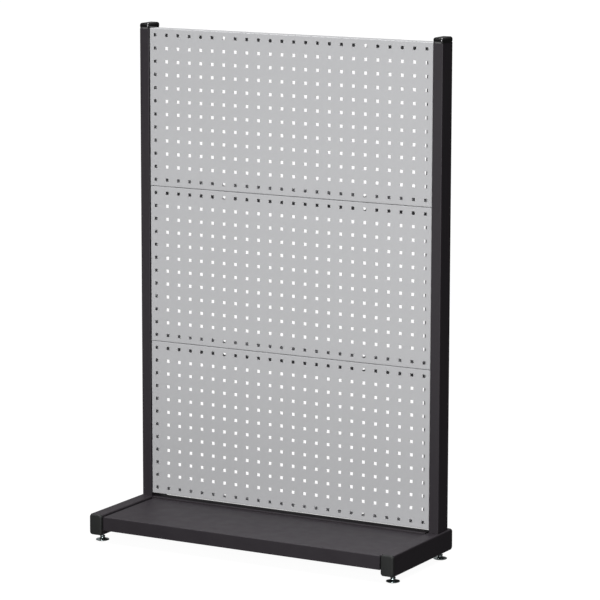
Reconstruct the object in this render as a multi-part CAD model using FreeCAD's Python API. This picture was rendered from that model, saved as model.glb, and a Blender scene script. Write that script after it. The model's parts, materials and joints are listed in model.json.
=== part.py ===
import FreeCAD, Part
import math
import os

# Single-sided shop display bay: two feet on levelling glides, two uprights
# with three perforated tray panels between them, and a lift-out base deck.
# Millimetres. Origin on the floor under the middle of the footprint,
# +Z up, +X to the right of someone facing the bay, front towards -Y.

Vec = FreeCAD.Vector
sides = {"left": -1, "right": 1}
ends = {"front": -1, "rear": 1}

# ---------------------------------------------------------------- panels
panel_count = 3
panel_width = 911.0
panel_height = 455.0
panel_sheet = 1.2
panel_bend = 2.2            # outside radius of every fold
panel_seam = 1.0            # gap between two stacked panels
panel_floor_gap = 9.0       # gap between the lowest panel and the base
end_flange = 35.0           # depth of the top and bottom flanges
end_lip = 34.0              # height of the lips folded in from them
side_flange = 25.0          # depth of the side flanges
side_lip = 30.0             # width of the lips folded in from them
lip_relief = 3.0            # a lip stops this short of its neighbours

# ---------------------------------------------------------------- perforation
hole_pitch = 38.0
hole_size = 9.2             # square holes
hole_edge_min = 15.0        # least distance from a hole's centre to an edge
slot_width = 10.0           # obround slots in the end lips
slot_length = 16.0
slot_from_edge = 18.5

# ---------------------------------------------------------------- uprights
upright_width = 30.0
upright_depth = 60.0
upright_wall = 2.0
upright_corner = 2.0
upright_proud = 3.0         # the upright stands this far in front of the panels
panel_over_tube = 2.0       # the top panel ends this far above the tube
cap_height = 16.0
cap_flare_height = 5.5      # from the tube's outline to the widest
cap_overhang = 1.4
cap_corner = 7.2            # of its outline at the widest
cap_round = 6.6             # of its top edges
cap_plug_depth = 15.0

# ---------------------------------------------------------------- feet
foot_length = 364.0         # over both end caps
foot_width = 40.0
foot_height = 60.0
foot_wall = 2.0
foot_corner = 3.5
foot_clearance = 22.0       # floor to the foot's underside
foot_cap_thickness = 8.0
foot_cap_round = 4.5        # of its outer edges
foot_cap_corner = 8.0       # of its outline, seen from the end
rear_overhang = 22.5        # foot end behind the upright
plug_clearance = 0.2
plug_wall = 2.0

# ---------------------------------------------------------------- spigots
spigot_height = 120.0
spigot_wall = 2.5
spigot_clearance = 0.3
spigot_bolt_heights = (35.0, 85.0)

# ---------------------------------------------------------------- base crossbar
crossbar_depth = 40.0
crossbar_rise = 20.0        # the feet's undersides to its own
crossbar_wall = 2.0
crossbar_forward = 8.0      # its front face is this far in front of the panels
plate_thickness = 4.5       # end plates fill the gap to the feet
plate_behind = 22.0         # the plate reaches this far behind the tube
plate_top_drop = 4.5
plate_bottom_rise = 3.5

# ---------------------------------------------------------------- base deck
deck_sheet = 1.5
deck_bend = 2.5
deck_drop = 4.0             # deck top below the feet's tops
deck_setback = 2.5          # deck front behind the foot caps' fronts
deck_side_gap = 4.5         # each side, with the deck centred
deck_offset = 2.0           # it sits this far to the right
deck_rear_gap = 0.5
deck_front_lip = 40.0
deck_flange = 25.0          # side and rear flange height
deck_return = 15.0          # lips folded in under the flanges
deck_tab = 20.0             # depth of the front lip's end tabs
stiffener_width = 70.0
stiffener_height = 18.0
stiffener_flange = 15.0
stiffener_end_gap = 25.0
seat_clearance = 0.05

# ---------------------------------------------------------------- deck brackets
bracket_width = 40.0
bracket_ledge = 30.0
bracket_bottom_rise = 2.95  # above the foot's underside
bracket_bolt_drop = 1.0     # below the middle of the upright leg
bracket_thickness = 3.0
bracket_bolt_spacing = 22.0
bracket_from_front = 50.0
bracket_from_rear = 44.0

# ---------------------------------------------------------------- levellers
leveller_inset = 38.5       # from the foot's end to the stud's axis
stud_radius = 4.0
stud_top = 48.0             # above the floor
stud_hex = 13.0             # across flats
stud_hex_height = 3.4
pad_radius = 19.25
pad_height = 10.5
pad_rim_top = 3.2
pad_rim_bottom = 0.8
pad_hub_wall = 3.0
pad_floor = 1.0             # under the stud's end
sole_radius = 17.5
sole_height = 3.0
sole_clearance = 0.1
lock_nut_height = 5.0
weld_nut_hex = 14.0
weld_nut_height = 7.0
running_clearance = 0.05

# ---------------------------------------------------------------- M6 fasteners
bolt_radius = 3.0
bolt_hole_radius = 3.3
bolt_head_hex = 10.0
bolt_head_height = 4.0
nut_height = 5.0
nut_bore_radius = 3.06
rivet_flange_radius = 6.5
rivet_flange_height = 1.5
rivet_body_radius = 4.5
rivet_bulge_radius = 5.6
rivet_length = 12.0
panel_bolt_depth = 12.5     # behind the panels' front face
panel_bolt_from_edge = 130.0
bolt_past_nut = 2.0

# ---------------------------------------------------------------- places
panel_half = panel_width / 2
upright_x = panel_half + rivet_flange_height + upright_width / 2
upright_inner_x = upright_x - upright_width / 2
foot_inner_x = upright_x - foot_width / 2
foot_front_y = -foot_length / 2
foot_rear_y = foot_length / 2
foot_top_z = foot_clearance + foot_height
upright_rear_y = foot_rear_y - rear_overhang
upright_y = upright_rear_y - upright_depth / 2
panel_face_y = upright_rear_y - upright_depth + upright_proud
panel_bottom_z = foot_top_z + panel_floor_gap
panel_step = panel_height + panel_seam
panel_top_z = panel_bottom_z + panel_count * panel_step - panel_seam
tube_top_z = panel_top_z - panel_over_tube
crossbar_front_y = panel_face_y - crossbar_forward
crossbar_rear_y = crossbar_front_y + crossbar_depth
crossbar_bottom_z = foot_clearance + crossbar_rise
crossbar_half = foot_inner_x - plate_thickness
deck_half = foot_inner_x - deck_side_gap
deck_front_y = foot_front_y + deck_setback
deck_rear_y = crossbar_front_y - deck_rear_gap
deck_top_z = foot_top_z - deck_drop
ledge_top_z = deck_top_z - deck_flange - seat_clearance
bracket_bottom_z = foot_clearance + bracket_bottom_rise
bracket_bolt_z = (bracket_bottom_z + ledge_top_z) / 2 - bracket_bolt_drop
leveller_y = foot_length / 2 - leveller_inset
plate_rear_y = crossbar_rear_y + plate_behind
plate_bottom_z = foot_clearance + plate_bottom_rise
plate_top_z = foot_top_z - plate_top_drop


# ---------------------------------------------------------------- shape helpers
def block(x0, x1, y0, y1, z0, z1):
    # Box between the given limits, whichever way round each pair is.
    low = Vec(min(x0, x1), min(y0, y1), min(z0, z1))
    return Part.makeBox(abs(x1 - x0), abs(y1 - y0), abs(z1 - z0), low)


def edges_along(shape, axis):
    # The straight edges of a box that run along one axis.
    return [e for e in shape.Edges
            if abs(getattr(e.tangentAt(e.FirstParameter), axis)) > 0.99]


def edges_at(shape, axis, value):
    # The edges that lie wholly in the plane axis = value.
    found = []
    for edge in shape.Edges:
        box = edge.BoundBox
        low = getattr(box, axis.upper() + "Min")
        high = getattr(box, axis.upper() + "Max")
        if abs(low - value) < 1e-4 and abs(high - value) < 1e-4:
            found.append(edge)
    return found


def rounded_bar(shape, axis, radius):
    return shape.makeFillet(radius, edges_along(shape, axis))


def square_tube(limits, axis, wall, corner):
    # Hollow rectangular tube along one axis; limits are x0, x1, y0, y1, z0, z1.
    outer = rounded_bar(block(*limits), axis, corner)
    inset = list(limits)
    for number, name in enumerate("xyz"):
        step = -1.0 if name == axis.lower() else wall
        inset[2 * number] += step
        inset[2 * number + 1] -= step
    inner = rounded_bar(block(*inset), axis, max(corner - wall, 0.5))
    return outer.cut(inner)


def cylinder(radius, start, direction, length):
    return Part.makeCylinder(radius, length, start, direction)


def hexagon(across_flats, start, direction, length):
    # Hexagonal prism from start along direction, with lightly turned ends.
    corner = across_flats / math.sqrt(3)
    points = []
    for number in range(7):
        angle = math.radians(60 * number + 30)
        points.append(Vec(corner * math.cos(angle), corner * math.sin(angle), 0))
    prism = Part.Face(Part.makePolygon(points)).extrude(Vec(0, 0, length))
    bevel = corner - across_flats / 2
    turned = Part.makeCylinder(corner, length)
    turned = turned.makeChamfer(bevel * 0.6, [e for e in turned.Edges if e.Closed])
    prism = prism.common(turned)
    prism.Placement = FreeCAD.Placement(start, FreeCAD.Rotation(Vec(0, 0, 1), direction))
    return prism


def bolt(seat, direction, grip):
    # Hexagon-head bolt: its head stands on seat, its shank runs along direction.
    head = hexagon(bolt_head_hex, seat, direction * -1, bolt_head_height)
    shank = cylinder(bolt_radius, seat, direction, grip)
    tip = [e for e in shank.Edges if e.Closed
           and (e.CenterOfMass - seat).Length > grip / 2]
    shank = shank.makeChamfer(bolt_radius / 5, tip)
    return head.fuse(shank).removeSplitter()


def nut(across_flats, bore_radius, start, direction, height):
    body = hexagon(across_flats, start, direction, height)
    return body.cut(cylinder(bore_radius, start - direction, direction, height + 2))


def moved(shape, x, y, z):
    shape.translate(Vec(x, y, z))
    return shape


def folded_tray(width, height, sheet, bend, side, low, high):
    # Sheet tray: face up at z = 0, flanges down. side, low and high each give
    # (flange depth, lip width) for the x sides, the -y edge and the +y edge.
    half, top = width / 2, height / 2
    deepest = max(side[0], low[0], high[0])
    outer = block(-half, half, -top, top, -deepest, 0)
    outer = outer.makeFillet(bend, edges_at(outer, "z", 0))
    inner = block(-half + sheet, half - sheet, -top + sheet, top - sheet,
                  -deepest - 1, -sheet)
    inner = inner.makeFillet(bend - sheet, edges_at(inner, "z", -sheet))
    tray = outer.cut(inner)
    for sign in (-1, 1):
        spare = block(sign * (half - sheet - 1), sign * (half + 1),
                      -top + sheet, top - sheet, -deepest - 1, -side[0])
        tray = tray.cut(spare)
    for sign, (depth, lip) in ((-1, low), (1, high)):
        spare = block(-half - 1, half + 1, sign * (top - sheet - 1), sign * (top + 1),
                      -deepest - 1, -depth)
        tray = tray.cut(spare)
        shelf = block(-half + lip_relief, half - lip_relief,
                      sign * (top - lip), sign * (top - sheet / 2),
                      -depth, -depth + sheet)
        tray = tray.fuse(shelf)
    clear = {-1: low[1] if low[0] <= side[0] + sheet else sheet,
             1: high[1] if high[0] <= side[0] + sheet else sheet}
    for sign in (-1, 1):
        shelf = block(sign * (half - side[1]), sign * (half - sheet / 2),
                      -top + clear[-1] + lip_relief, top - clear[1] - lip_relief,
                      -side[0], -side[0] + sheet)
        tray = tray.fuse(shelf)
    return tray.removeSplitter()


# ---------------------------------------------------------------- panels
def grid_places(length):
    # Hole centres along one length, centred and at the fixed pitch.
    count = int((length - 2 * hole_edge_min) // hole_pitch) + 1
    return [(number - (count - 1) / 2) * hole_pitch for number in range(count)]


def lip_slot(x, y):
    # Obround cutter through one end lip, long in y.
    straight = slot_length - slot_width
    body = block(x - slot_width / 2, x + slot_width / 2,
                 y - straight / 2, y + straight / 2,
                 -end_flange - 1, -end_flange + panel_sheet + 1)
    cutters = [body]
    for sign in (-1, 1):
        start = Vec(x, y + sign * straight / 2, -end_flange - 1)
        cutters.append(cylinder(slot_width / 2, start, Vec(0, 0, 1), panel_sheet + 2))
    return cutters


def panel_bolt_offsets():
    # Heights of the side bolts from the panel's middle.
    reach = panel_height / 2 - panel_bolt_from_edge
    return (-reach, reach)


def panel(bottom_z):
    ends_profile = (end_flange, end_lip)
    tray = folded_tray(panel_width, panel_height, panel_sheet, panel_bend,
                       (side_flange, side_lip), ends_profile, ends_profile)
    half = hole_size / 2
    cutters = []
    for x in grid_places(panel_width):
        for y in grid_places(panel_height):
            cutters.append(block(x - half, x + half, y - half, y + half,
                                 -panel_sheet - 1, 1))
    for x in (-panel_width / 4, panel_width / 4):
        for sign in (-1, 1):
            cutters += lip_slot(x, sign * (panel_height / 2 - slot_from_edge))
    for sign in sides.values():
        for offset in panel_bolt_offsets():
            start = Vec(sign * (panel_half + 1), offset, -panel_bolt_depth)
            cutters.append(cylinder(bolt_hole_radius, start, Vec(-sign, 0, 0),
                                    panel_sheet + 2))
    tray = tray.cut(Part.makeCompound(cutters))
    tray.rotate(Vec(0, 0, 0), Vec(1, 0, 0), 90)
    return moved(tray, 0, panel_face_y, bottom_z + panel_height / 2)


def panel_bolt_places():
    places = []
    for number in range(panel_count):
        middle = panel_bottom_z + number * panel_step + panel_height / 2
        places += [middle + offset for offset in panel_bolt_offsets()]
    return places


def rivet_nuts(sign):
    # Flanged inserts in the upright's inner wall; the flange fills the gap.
    out = Vec(sign, 0, 0)
    solids = []
    for z in panel_bolt_places():
        start = Vec(sign * panel_half, panel_face_y + panel_bolt_depth, z)
        wall_face = start + out * rivet_flange_height
        behind_wall = wall_face + out * upright_wall
        body = cylinder(rivet_flange_radius, start, out, rivet_flange_height)
        body = body.fuse(cylinder(rivet_body_radius, wall_face, out, rivet_length))
        bulge = cylinder(rivet_bulge_radius, behind_wall, out, rivet_length / 3)
        body = body.fuse(bulge).removeSplitter()
        bore = cylinder(nut_bore_radius, start - out, out, rivet_length + 4)
        solids.append(body.cut(bore))
    return Part.makeCompound(solids)


def panel_bolts(sign):
    out = Vec(sign, 0, 0)
    grip = panel_sheet + rivet_flange_height + rivet_length
    solids = []
    for z in panel_bolt_places():
        seat = Vec(sign * (panel_half - panel_sheet), panel_face_y + panel_bolt_depth, z)
        solids.append(bolt(seat, out, grip))
    return Part.makeCompound(solids)


# ---------------------------------------------------------------- uprights
def spigot_bolt_places():
    return [foot_top_z + height for height in spigot_bolt_heights]


def upright(sign):
    x = sign * upright_x
    tube = square_tube((x - upright_width / 2, x + upright_width / 2,
                        upright_y - upright_depth / 2, upright_y + upright_depth / 2,
                        foot_top_z, tube_top_z), "z", upright_wall, upright_corner)
    cutters = []
    for z in spigot_bolt_places():
        start = Vec(x, upright_rear_y + 1, z)
        cutters.append(cylinder(bolt_hole_radius, start, Vec(0, -1, 0), upright_wall + 2))
    for z in panel_bolt_places():
        start = Vec(sign * (upright_inner_x - 1), panel_face_y + panel_bolt_depth, z)
        cutters.append(cylinder(rivet_body_radius, start, Vec(sign, 0, 0),
                                upright_wall + 2))
    return tube.cut(Part.makeCompound(cutters))


def cap_outline(x, spread, z):
    # The upright's outline, grown by spread and well rounded, at one height.
    half_x, half_y = upright_width / 2 + spread, upright_depth / 2 + spread
    slab = block(x - half_x, x + half_x, upright_y - half_y, upright_y + half_y, z, z + 1)
    slab = rounded_bar(slab, "z", cap_corner - cap_overhang + spread)
    return Part.Wire(Part.__sortEdges__(edges_at(slab, "z", z)))


def upright_cap(sign):
    # Push-in cap: flares out from the tube's outline, rounds in to a flat top,
    # and holds by a hollow plug.
    x = sign * upright_x
    half_x, half_y = upright_width / 2, upright_depth / 2
    widest_z = tube_top_z + cap_flare_height
    top_z = tube_top_z + cap_height
    flare = Part.makeLoft([cap_outline(x, 0.0, tube_top_z),
                           cap_outline(x, cap_overhang, widest_z)], True, True)
    head = Part.Face(cap_outline(x, cap_overhang, widest_z))
    head = head.extrude(Vec(0, 0, top_z - widest_z))
    head = head.makeFillet(cap_round, edges_at(head, "z", top_z))
    gap = upright_wall + plug_clearance
    plug = square_tube((x - half_x + gap, x + half_x - gap,
                        upright_y - half_y + gap, upright_y + half_y - gap,
                        tube_top_z - cap_plug_depth, tube_top_z),
                       "z", plug_wall, upright_corner - upright_wall + plug_wall / 2)
    return flare.fuse([head, plug]).removeSplitter()


def spigot(sign):
    # Stub tube that stands on the foot inside the upright.
    x = sign * upright_x
    gap = upright_wall + spigot_clearance
    half_x = upright_width / 2 - gap
    half_y = upright_depth / 2 - gap
    tube = square_tube((x - half_x, x + half_x, upright_y - half_y, upright_y + half_y,
                        foot_top_z, foot_top_z + spigot_height),
                       "z", spigot_wall, upright_corner - 0.5)
    cutters = []
    for z in spigot_bolt_places():
        start = Vec(x, upright_y + half_y + 1, z)
        cutters.append(cylinder(bolt_hole_radius, start, Vec(0, -1, 0), spigot_wall + 2))
    for z in panel_bolt_places():       # only those level with the spigot cut it
        start = Vec(sign * upright_inner_x, panel_face_y + panel_bolt_depth, z)
        cutters.append(cylinder(rivet_bulge_radius + 1, start, Vec(sign, 0, 0),
                                upright_width / 2))
    return tube.cut(Part.makeCompound(cutters))


def spigot_bolts(sign):
    grip = upright_wall + spigot_clearance + spigot_wall + nut_height + bolt_past_nut
    solids = []
    for z in spigot_bolt_places():
        seat = Vec(sign * upright_x, upright_rear_y, z)
        solids.append(bolt(seat, Vec(0, -1, 0), grip))
    return Part.makeCompound(solids)


def spigot_nuts(sign):
    inner_y = upright_rear_y - upright_wall - spigot_clearance - spigot_wall
    solids = []
    for z in spigot_bolt_places():
        start = Vec(sign * upright_x, inner_y, z)
        solids.append(nut(bolt_head_hex, nut_bore_radius, start, Vec(0, -1, 0),
                          nut_height))
    return Part.makeCompound(solids)


# ---------------------------------------------------------------- feet
def plate_bolt_places():
    # Two bolts behind the crossbar and one under it, as (y, z).
    behind_y = crossbar_rear_y + plate_behind / 2
    edge = bolt_head_hex * 0.9
    return [(behind_y, plate_bottom_z + edge),
            (behind_y, plate_top_z - edge - 1.0),
            (crossbar_front_y + crossbar_depth / 3,
             (plate_bottom_z + crossbar_bottom_z) / 2)]


def bracket_middles():
    return {"front": deck_front_y + bracket_from_front,
            "rear": deck_rear_y - bracket_from_rear}


def bracket_bolt_places(end):
    middle = bracket_middles()[end]
    half = bracket_bolt_spacing / 2
    return [(middle - half, bracket_bolt_z), (middle + half, bracket_bolt_z)]


def foot_side_places():
    places = plate_bolt_places()
    for end in ends:
        places += bracket_bolt_places(end)
    return places


def foot(sign):
    x = sign * upright_x
    tube = square_tube((x - foot_width / 2, x + foot_width / 2,
                        foot_front_y + foot_cap_thickness,
                        foot_rear_y - foot_cap_thickness,
                        foot_clearance, foot_top_z), "y", foot_wall, foot_corner)
    cutters = []
    for y, z in foot_side_places():
        start = Vec(sign * (foot_inner_x - 1), y, z)
        cutters.append(cylinder(bolt_hole_radius, start, Vec(sign, 0, 0), foot_wall + 2))
    for y in (-leveller_y, leveller_y):
        start = Vec(x, y, foot_clearance - 1)
        cutters.append(cylinder(stud_radius + 0.5, start, Vec(0, 0, 1), foot_wall + 2))
    return tube.cut(Part.makeCompound(cutters))


def foot_cap(sign, end_sign):
    # Moulded end cap: a rounded plate over the tube's end and a hollow plug.
    x = sign * upright_x
    outer_y = end_sign * foot_length / 2
    seat_y = outer_y - end_sign * foot_cap_thickness
    plate = block(x - foot_width / 2, x + foot_width / 2, seat_y, outer_y,
                  foot_clearance, foot_top_z)
    plate = rounded_bar(plate, "y", foot_cap_corner)
    plate = plate.makeFillet(foot_cap_round, edges_at(plate, "y", outer_y))
    gap = foot_wall + plug_clearance
    plug_end = seat_y - end_sign * cap_plug_depth
    plug = square_tube((x - foot_width / 2 + gap, x + foot_width / 2 - gap,
                        min(seat_y, plug_end), max(seat_y, plug_end),
                        foot_clearance + gap, foot_top_z - gap),
                       "y", plug_wall, foot_corner - foot_wall + plug_wall / 2)
    return plate.fuse(plug).removeSplitter()


def foot_nuts(sign):
    # Nuts welded inside the foot for the crossbar and bracket bolts.
    solids = []
    for y, z in foot_side_places():
        start = Vec(sign * (foot_inner_x + foot_wall), y, z)
        solids.append(nut(bolt_head_hex, nut_bore_radius, start, Vec(sign, 0, 0),
                          nut_height))
    return Part.makeCompound(solids)


# ---------------------------------------------------------------- crossbar
def base_crossbar():
    return square_tube((-crossbar_half, crossbar_half, crossbar_front_y,
                        crossbar_rear_y, crossbar_bottom_z, foot_top_z),
                       "x", crossbar_wall, upright_corner)


def crossbar_plate(sign):
    plate = block(sign * crossbar_half, sign * foot_inner_x,
                  crossbar_front_y, plate_rear_y, plate_bottom_z, plate_top_z)
    plate = rounded_bar(plate, "x", upright_corner)
    cutters = []
    for y, z in plate_bolt_places():
        start = Vec(sign * (crossbar_half - 1), y, z)
        cutters.append(cylinder(bolt_hole_radius, start, Vec(sign, 0, 0),
                                plate_thickness + 2))
    return plate.cut(Part.makeCompound(cutters))


def crossbar_bolts(sign):
    grip = plate_thickness + foot_wall + nut_height + bolt_past_nut
    solids = []
    for y, z in plate_bolt_places():
        solids.append(bolt(Vec(sign * crossbar_half, y, z), Vec(sign, 0, 0), grip))
    return Part.makeCompound(solids)


# ---------------------------------------------------------------- deck
def deck():
    depth = deck_rear_y - deck_front_y
    tray = folded_tray(2 * deck_half, depth, deck_sheet, deck_bend,
                       (deck_flange, deck_return), (deck_front_lip, deck_return),
                       (deck_flange, deck_return))
    for sign in sides.values():         # tabs that close the front lip's ends
        tab = block(sign * (deck_half - deck_sheet), sign * deck_half,
                    -depth / 2 + deck_sheet / 2, -depth / 2 + deck_tab,
                    -deck_front_lip, -deck_flange + deck_sheet / 2)
        tray = tray.fuse(tab)
    middle_y = (deck_front_y + deck_rear_y) / 2
    return moved(tray.removeSplitter(), deck_offset, middle_y, deck_top_z)


def deck_stiffener():
    # Hat channel welded under the middle of the deck, open side up.
    half_length = deck_half - deck_return - stiffener_end_gap
    y = (deck_front_y + deck_rear_y) / 2
    top_z = deck_top_z - deck_sheet
    half = stiffener_width / 2
    body = block(-half_length, half_length, y - half, y + half,
                 top_z - stiffener_height, top_z)
    hollow = block(-half_length - 1, half_length + 1, y - half + deck_sheet,
                   y + half - deck_sheet, top_z - stiffener_height + deck_sheet,
                   top_z + 1)
    channel = body.cut(hollow)
    for sign in (-1, 1):
        flange = block(-half_length, half_length, y + sign * (half - deck_sheet),
                       y + sign * (half + stiffener_flange), top_z - deck_sheet, top_z)
        channel = channel.fuse(flange)
    return moved(channel.removeSplitter(), deck_offset, 0, 0)


def deck_bracket(sign, end):
    # Angle bolted to the foot's inner face; the deck's lip sits on its ledge.
    middle = bracket_middles()[end]
    y0, y1 = middle - bracket_width / 2, middle + bracket_width / 2
    leg = block(sign * foot_inner_x, sign * (foot_inner_x - bracket_thickness),
                y0, y1, bracket_bottom_z, ledge_top_z)
    ledge = block(sign * foot_inner_x, sign * (foot_inner_x - bracket_ledge),
                  y0, y1, ledge_top_z - bracket_thickness, ledge_top_z)
    ledge = ledge.makeFillet(bracket_thickness, edges_along_z_at(ledge, sign))
    angle = leg.fuse(ledge).removeSplitter()
    cutters = []
    for y, z in bracket_bolt_places(end):
        start = Vec(sign * (foot_inner_x + 1), y, z)
        cutters.append(cylinder(bolt_hole_radius, start, Vec(-sign, 0, 0),
                                bracket_thickness + 2))
    return angle.cut(Part.makeCompound(cutters))


def edges_along_z_at(ledge, sign):
    # The ledge's two free corners.
    free_x = sign * (foot_inner_x - bracket_ledge)
    return [e for e in edges_along(ledge, "z")
            if abs(e.CenterOfMass.x - free_x) < 1e-4]


def bracket_bolts(sign):
    grip = bracket_thickness + foot_wall + nut_height + bolt_past_nut
    solids = []
    for end in ends:
        for y, z in bracket_bolt_places(end):
            seat = Vec(sign * (foot_inner_x - bracket_thickness), y, z)
            solids.append(bolt(seat, Vec(sign, 0, 0), grip))
    return Part.makeCompound(solids)


# ---------------------------------------------------------------- levellers
def revolve_profile(points, x, y):
    wire = Part.makePolygon([Vec(r, 0, z) for r, z in points + points[:1]])
    turned = Part.Face(wire).revolve(Vec(0, 0, 0), Vec(0, 0, 1), 360)
    turned.translate(Vec(x, y, 0))
    return turned


def leveller_pad(x, y):
    # Pressed steel dish that sweeps up to a hub, in which the stud turns.
    hub = stud_radius + pad_hub_wall
    socket = stud_radius + running_clearance
    sole_pocket = sole_radius + sole_clearance
    socket_floor = sole_height + pad_floor
    sweep = pad_height - pad_rim_top
    return revolve_profile([
        (0.0, sole_height), (sole_pocket, sole_height),
        (sole_pocket, pad_rim_bottom), (pad_radius, pad_rim_bottom),
        (pad_radius, pad_rim_top), (pad_radius - 1.0, pad_rim_top + 0.1 * sweep),
        (hub + 5.0, pad_rim_top + 0.25 * sweep), (hub + 1.5, pad_rim_top + 0.5 * sweep),
        (hub, pad_rim_top + 0.75 * sweep), (hub, pad_height), (socket, pad_height),
        (socket, socket_floor), (0.0, socket_floor)], x, y)


def leveller_sole(x, y):
    edge = 0.6
    return revolve_profile([
        (0.0, 0.0), (sole_radius - edge, 0.0), (sole_radius, edge),
        (sole_radius, sole_height), (0.0, sole_height)], x, y)


def leveller_stud(x, y):
    # Threaded stud with a spanner hexagon just above the pad's hub.
    up = Vec(0, 0, 1)
    foot_z = sole_height + pad_floor + running_clearance
    shank = cylinder(stud_radius, Vec(x, y, foot_z), up, stud_top - foot_z)
    shank = shank.makeChamfer(0.8, edges_at(shank, "z", stud_top))
    hex_z = pad_height + running_clearance
    collar = hexagon(stud_hex, Vec(x, y, hex_z), up, stud_hex_height)
    return shank.fuse(collar).removeSplitter()


def leveller_lock_nut(x, y):
    start = Vec(x, y, foot_clearance - lock_nut_height)
    return nut(stud_hex, stud_radius + running_clearance, start, Vec(0, 0, 1),
               lock_nut_height)


def leveller_weld_nut(x, y):
    start = Vec(x, y, foot_clearance + foot_wall)
    return nut(weld_nut_hex, stud_radius + running_clearance, start, Vec(0, 0, 1),
               weld_nut_height)


# ---------------------------------------------------------------- build
def build_nodes():
    nodes = {"base_crossbar": base_crossbar(),
             "deck": deck(),
             "deck_stiffener": deck_stiffener()}
    for number, place in enumerate(("bottom", "middle", "top")[:panel_count]):
        nodes["panel_" + place] = panel(panel_bottom_z + number * panel_step)
    for side, sign in sides.items():
        nodes["foot_" + side] = foot(sign)
        nodes["foot_nuts_" + side] = foot_nuts(sign)
        nodes["upright_" + side] = upright(sign)
        nodes["upright_cap_" + side] = upright_cap(sign)
        nodes["spigot_" + side] = spigot(sign)
        nodes["spigot_bolts_" + side] = spigot_bolts(sign)
        nodes["spigot_nuts_" + side] = spigot_nuts(sign)
        nodes["panel_bolts_" + side] = panel_bolts(sign)
        nodes["rivet_nuts_" + side] = rivet_nuts(sign)
        nodes["crossbar_plate_" + side] = crossbar_plate(sign)
        nodes["crossbar_bolts_" + side] = crossbar_bolts(sign)
        nodes["bracket_bolts_" + side] = bracket_bolts(sign)
        for end, end_sign in ends.items():
            corner = end + "_" + side
            x, y = sign * upright_x, end_sign * leveller_y
            nodes["foot_cap_" + corner] = foot_cap(sign, end_sign)
            nodes["deck_bracket_" + corner] = deck_bracket(sign, end)
            nodes["leveller_pad_" + corner] = leveller_pad(x, y)
            nodes["leveller_sole_" + corner] = leveller_sole(x, y)
            nodes["leveller_stud_" + corner] = leveller_stud(x, y)
            nodes["lock_nut_" + corner] = leveller_lock_nut(x, y)
            nodes["weld_nut_" + corner] = leveller_weld_nut(x, y)
    return nodes


os.makedirs("parts", exist_ok=True)
for name, shape in build_nodes().items():
    shape.exportStep("parts/" + name + ".step")
    size = shape.BoundBox
    print("%-26s solids %d valid %s  %.1f x %.1f x %.1f" % (
        name, len(shape.Solids), shape.isValid(),
        size.XLength, size.YLength, size.ZLength))
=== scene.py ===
import bpy
import bmesh
import json
import math
from mathutils import Euler, Matrix, Vector


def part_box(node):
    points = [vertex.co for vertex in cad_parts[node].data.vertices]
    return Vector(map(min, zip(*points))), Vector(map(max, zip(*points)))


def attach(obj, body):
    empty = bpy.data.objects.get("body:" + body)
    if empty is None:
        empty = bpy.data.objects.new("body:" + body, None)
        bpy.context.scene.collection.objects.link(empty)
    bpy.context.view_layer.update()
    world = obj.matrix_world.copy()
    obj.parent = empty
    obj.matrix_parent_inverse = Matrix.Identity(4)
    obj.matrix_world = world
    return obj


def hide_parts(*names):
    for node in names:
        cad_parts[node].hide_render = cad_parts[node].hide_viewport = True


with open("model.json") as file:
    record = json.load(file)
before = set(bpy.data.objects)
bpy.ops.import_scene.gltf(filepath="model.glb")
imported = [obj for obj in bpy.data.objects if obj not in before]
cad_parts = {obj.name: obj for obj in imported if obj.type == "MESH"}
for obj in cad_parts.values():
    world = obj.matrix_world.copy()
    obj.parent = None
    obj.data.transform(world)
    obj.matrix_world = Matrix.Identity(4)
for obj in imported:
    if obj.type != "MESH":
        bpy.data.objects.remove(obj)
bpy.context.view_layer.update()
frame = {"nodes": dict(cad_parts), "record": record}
nodes = frame["nodes"]
print("frame loaded:", len(nodes), "CAD nodes")

mm = 0.001
sides = {"left": -1, "right": 1}
ends = ("front", "rear")
corners = [(end, side) for end in ends for side in sides]


# node material helpers

def newMaterial(name):
    material = bpy.data.materials.new(name)
    material.use_nodes = True
    shader = material.node_tree.nodes["Principled BSDF"]
    return material, shader


def addNode(material, kind, **settings):
    node = material.node_tree.nodes.new(kind)
    for key, value in settings.items():
        setattr(node, key, value)
    return node


def link(material, fromSocket, toSocket):
    material.node_tree.links.new(fromSocket, toSocket)


def objectNoise(material, scale, detail=2.0, roughness=0.5, stretch=(1, 1, 1)):
    # noise on object coordinates, metres
    coordinates = addNode(material, "ShaderNodeTexCoord")
    mapping = addNode(material, "ShaderNodeMapping")
    mapping.inputs["Scale"].default_value = stretch
    noise = addNode(material, "ShaderNodeTexNoise")
    noise.inputs["Scale"].default_value = scale
    noise.inputs["Detail"].default_value = detail
    noise.inputs["Roughness"].default_value = roughness
    link(material, coordinates.outputs["Object"], mapping.inputs["Vector"])
    link(material, mapping.outputs["Vector"], noise.inputs["Vector"])
    return noise.outputs["Fac"]


def remap(material, value, low, high, toLow, toHigh):
    node = addNode(material, "ShaderNodeMapRange")
    node.inputs["From Min"].default_value = low
    node.inputs["From Max"].default_value = high
    node.inputs["To Min"].default_value = toLow
    node.inputs["To Max"].default_value = toHigh
    link(material, value, node.inputs["Value"])
    return node.outputs["Result"]


def mixColour(material, factor, first, second):
    node = addNode(material, "ShaderNodeMix", data_type="RGBA")
    link(material, factor, node.inputs["Factor"])
    for socket, colour in ((node.inputs["A"], first), (node.inputs["B"], second)):
        if isinstance(colour, tuple):
            socket.default_value = (*colour, 1)
        else:
            link(material, colour, socket)
    return node.outputs["Result"]


def multiply(material, first, second):
    node = addNode(material, "ShaderNodeMath", operation="MULTIPLY")
    link(material, first, node.inputs[0])
    link(material, second, node.inputs[1])
    return node.outputs["Value"]


edgeAgreement = {"worn": 0.86, "clean": 0.995}


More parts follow.
